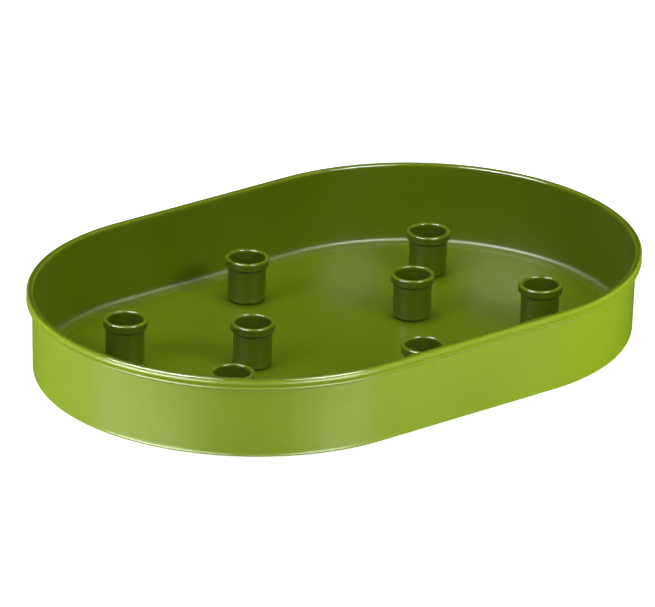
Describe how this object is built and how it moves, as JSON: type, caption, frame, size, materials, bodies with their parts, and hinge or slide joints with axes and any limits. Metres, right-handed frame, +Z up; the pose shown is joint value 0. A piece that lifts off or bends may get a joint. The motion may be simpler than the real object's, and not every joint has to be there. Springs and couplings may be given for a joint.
{
  "type": "candle and flower tray",
  "caption": "Oblong round-ended painted sheet-metal tray with a folded rim and straight candle cups riveted to its floor, for table flower and candle arrangements.",
  "frame": {"origin": "on the table, under the middle of the tray", "axes": "+X along the tray's length, +Y across it towards the rear cups, +Z up"},
  "size_m": [0.413, 0.277, 0.0535],
  "materials": {
    "green_paint": "semi-gloss yellow-green powder coat with a fine orange peel",
    "rivet_paint": "the same powder coat over rivet heads and closed ends"
  },
  "bodies": {
    "root": {"tray": "green_paint", "cup_rivets": "rivet_paint", "candle_cup_1": "green_paint", "candle_cup_2": "green_paint", "candle_cup_3": "green_paint", "candle_cup_4": "green_paint", "candle_cup_5": "green_paint", "candle_cup_6": "green_paint", "candle_cup_7": "green_paint", "candle_cup_8": "green_paint"}
  },
  "joints": []
}
